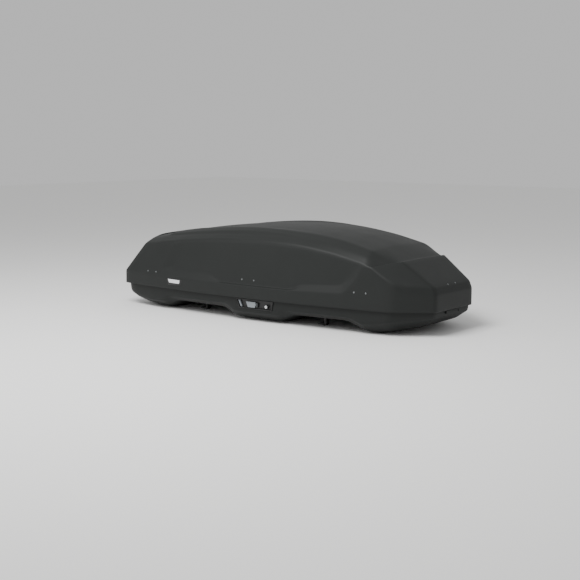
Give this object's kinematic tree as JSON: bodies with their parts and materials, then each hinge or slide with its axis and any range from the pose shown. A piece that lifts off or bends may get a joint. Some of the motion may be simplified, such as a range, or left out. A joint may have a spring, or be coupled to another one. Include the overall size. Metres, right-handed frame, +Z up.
{
  "type": "roof cargo box",
  "caption": "Long matt black car roof cargo box with a hinged faceted lid, side lock with sliding handle, spring struts and crossbar clamps.",
  "frame": {"origin": "on the ground plane under the middle of the box, at the bottom of its keels", "axes": "+X towards the nose of the box (the front of the car), +Z up, -Y towards the side with the lock"},
  "size_m": [1.923, 0.8666, 0.4801],
  "materials": {
    "lid_plastic": "fine-grained matt black ABS sheet, thermoformed",
    "tray_plastic": "fine-grained matt black ABS sheet, thermoformed",
    "inner_plastic": "black moulded nylon",
    "black_plastic": "black moulded nylon, slightly textured",
    "handle_plastic": "silver-grey moulded plastic",
    "knob_plastic": "dark grey moulded plastic",
    "badge_plastic": "plain light grey, no lettering",
    "rivet_steel": "bright steel rivet",
    "zinc_steel": "zinc-plated pressed steel",
    "rib_aluminium": "mill-finish aluminium",
    "strut_black": "black painted tube",
    "rod_steel": "polished rod",
    "claw_steel": "black powder-coated steel",
    "pad_rubber": "black ribbed rubber",
    "lock_chrome": "bright lock cylinder"
  },
  "bodies": {
    "tray": {"base_tray": "tray_plastic", "hinge_bracket_rear": "zinc_steel", "hinge_bracket_middle": "zinc_steel", "hinge_bracket_front": "zinc_steel", "hinge_pins": "zinc_steel", "lock_housing": "black_plastic", "rod_guides": "inner_plastic", "strut_foot_rear": "zinc_steel", "strut_foot_front": "zinc_steel", "floor_rail_rear": "rib_aluminium", "floor_rail_front": "rib_aluminium", "clamp_screws": "zinc_steel", "nose_guide": "inner_plastic", "nose_grip": "tray_plastic", "clamp_housing_rear_near": "black_plastic", "bar_pad_rear_near": "pad_rubber", "clamp_housing_rear_far": "black_plastic", "bar_pad_rear_far": "pad_rubber", "clamp_housing_front_near": "black_plastic", "bar_pad_front_near": "pad_rubber", "clamp_housing_front_far": "black_plastic", "bar_pad_front_far": "pad_rubber"},
    "lid": {"lid_shell": "lid_plastic", "blank_badge": "badge_plastic", "side_rivets": "rivet_steel", "nose_rivets": "rivet_steel", "roof_rib_rear": "rib_aluminium", "roof_rib_front": "rib_aluminium", "nose_hook": "inner_plastic", "hinge_arm_rear": "zinc_steel", "hinge_arm_middle": "zinc_steel", "hinge_arm_front": "zinc_steel", "catch_plate_rear": "zinc_steel", "catch_plate_middle": "zinc_steel", "catch_plate_front": "zinc_steel", "strut_head_rear": "zinc_steel", "strut_head_front": "zinc_steel"},
    "lock_slide": {"slide_handle": "handle_plastic", "lock_slider": "zinc_steel", "lock_finger_middle": "zinc_steel"},
    "rear_lock_rod": {"lock_rod_rear": "zinc_steel", "lock_finger_rear": "zinc_steel"},
    "front_lock_rod": {"lock_rod_front": "zinc_steel", "lock_finger_front": "zinc_steel"},
    "key": {"key_cylinder": "lock_chrome", "key_cam": "zinc_steel"},
    "strut_tube_rear": {"strut_cylinder_rear": "strut_black"},
    "strut_stem_rear": {"strut_rod_rear": "rod_steel"},
    "strut_tube_front": {"strut_cylinder_front": "strut_black"},
    "strut_stem_front": {"strut_rod_front": "rod_steel"},
    "claw_rear_near": {"clamp_jaw_rear_near": "claw_steel"},
    "knob_rear_near": {"clamp_knob_rear_near": "knob_plastic"},
    "claw_rear_far": {"clamp_jaw_rear_far": "claw_steel"},
    "knob_rear_far": {"clamp_knob_rear_far": "knob_plastic"},
    "claw_front_near": {"clamp_jaw_front_near": "claw_steel"},
    "knob_front_near": {"clamp_knob_front_near": "knob_plastic"},
    "claw_front_far": {"clamp_jaw_front_far": "claw_steel"},
    "knob_front_far": {"clamp_knob_front_far": "knob_plastic"}
  },
  "joints": [
    {"name": "lid_hinge", "type": "hinge", "parent": "tray", "child": "lid", "pos_m": [0, 0.3, 0.077], "axis": [-1, 0, 0], "range_deg": [0, 45]},
    {"name": "lock_slide", "type": "slide", "parent": "tray", "child": "lock_slide", "axis": [0.9967, 0.0811, 0], "range_m": [0, 0.028]},
    {"name": "rear_rod_slide", "type": "slide", "parent": "tray", "child": "rear_lock_rod", "axis": [0.9995, -0.0315, 0], "range_m": [0, 0.0285]},
    {"name": "front_rod_slide", "type": "slide", "parent": "tray", "child": "front_lock_rod", "axis": [0.9883, 0.1525, 0], "range_m": [0, 0.0285]},
    {"name": "key_turn", "type": "hinge", "parent": "tray", "child": "key", "pos_m": [0.09795, -0.38435, 0.086], "axis": [-0.0811, 0.9967, 0], "range_deg": [-90, 0]},
    {"name": "strut_swing_rear", "type": "hinge", "parent": "tray", "child": "strut_tube_rear", "pos_m": [-0.8, 0.04395, 0.03185], "axis": [-1, 0, 0], "range_deg": [0, 22.6]},
    {"name": "strut_extend_rear", "type": "slide", "parent": "strut_tube_rear", "child": "strut_stem_rear", "axis": [0, 0.342, 0.9397], "range_m": [0, 0.1531]},
    {"name": "strut_swing_front", "type": "hinge", "parent": "tray", "child": "strut_tube_front", "pos_m": [0.7, 0.04395, 0.03185], "axis": [-1, 0, 0], "range_deg": [0, 22.6]},
    {"name": "strut_extend_front", "type": "slide", "parent": "strut_tube_front", "child": "strut_stem_front", "axis": [0, 0.342, 0.9397], "range_m": [0, 0.1531]},
    {"name": "clamp_knob_rear_near", "type": "hinge", "parent": "tray", "child": "knob_rear_near", "pos_m": [-0.368, -0.262, 0.08], "axis": [1, 0, 0], "range_deg": [0, 1081]},
    {"name": "clamp_slide_rear_near", "type": "slide", "parent": "tray", "child": "claw_rear_near", "axis": [1, 0, 0], "range_m": [0, 0.045]},
    {"name": "clamp_knob_rear_far", "type": "hinge", "parent": "tray", "child": "knob_rear_far", "pos_m": [-0.368, 0.262, 0.08], "axis": [1, 0, 0], "range_deg": [0, 1081]},
    {"name": "clamp_slide_rear_far", "type": "slide", "parent": "tray", "child": "claw_rear_far", "axis": [1, 0, 0], "range_m": [0, 0.045]},
    {"name": "clamp_knob_front_near", "type": "hinge", "parent": "tray", "child": "knob_front_near", "pos_m": [0.437, -0.232, 0.08], "axis": [1, 0, 0], "range_deg": [0, 1081]},
    {"name": "clamp_slide_front_near", "type": "slide", "parent": "tray", "child": "claw_front_near", "axis": [1, 0, 0], "range_m": [0, 0.045]},
    {"name": "clamp_knob_front_far", "type": "hinge", "parent": "tray", "child": "knob_front_far", "pos_m": [0.437, 0.232, 0.08], "axis": [1, 0, 0], "range_deg": [0, 1081]},
    {"name": "clamp_slide_front_far", "type": "slide", "parent": "tray", "child": "claw_front_far", "axis": [1, 0, 0], "range_m": [0, 0.045]}
  ],
  "couplings": [
    {"joint": "rear_rod_slide", "follows": "lock_slide", "ratio": 1},
    {"joint": "front_rod_slide", "follows": "lock_slide", "ratio": 1},
    {"joint": "strut_swing_rear", "follows": "lid_hinge", "ratio": 0.5},
    {"joint": "strut_extend_rear", "follows": "lid_hinge", "m_per_rad": 0.19423},
    {"joint": "strut_swing_front", "follows": "lid_hinge", "ratio": 0.5},
    {"joint": "strut_extend_front", "follows": "lid_hinge", "m_per_rad": 0.19423},
    {"joint": "clamp_knob_rear_near", "follows": "clamp_slide_rear_near", "rad_per_m": 418.88},
    {"joint": "clamp_knob_rear_far", "follows": "clamp_slide_rear_far", "rad_per_m": 418.88},
    {"joint": "clamp_knob_front_near", "follows": "clamp_slide_front_near", "rad_per_m": 418.88},
    {"joint": "clamp_knob_front_far", "follows": "clamp_slide_front_far", "rad_per_m": 418.88}
  ]
}
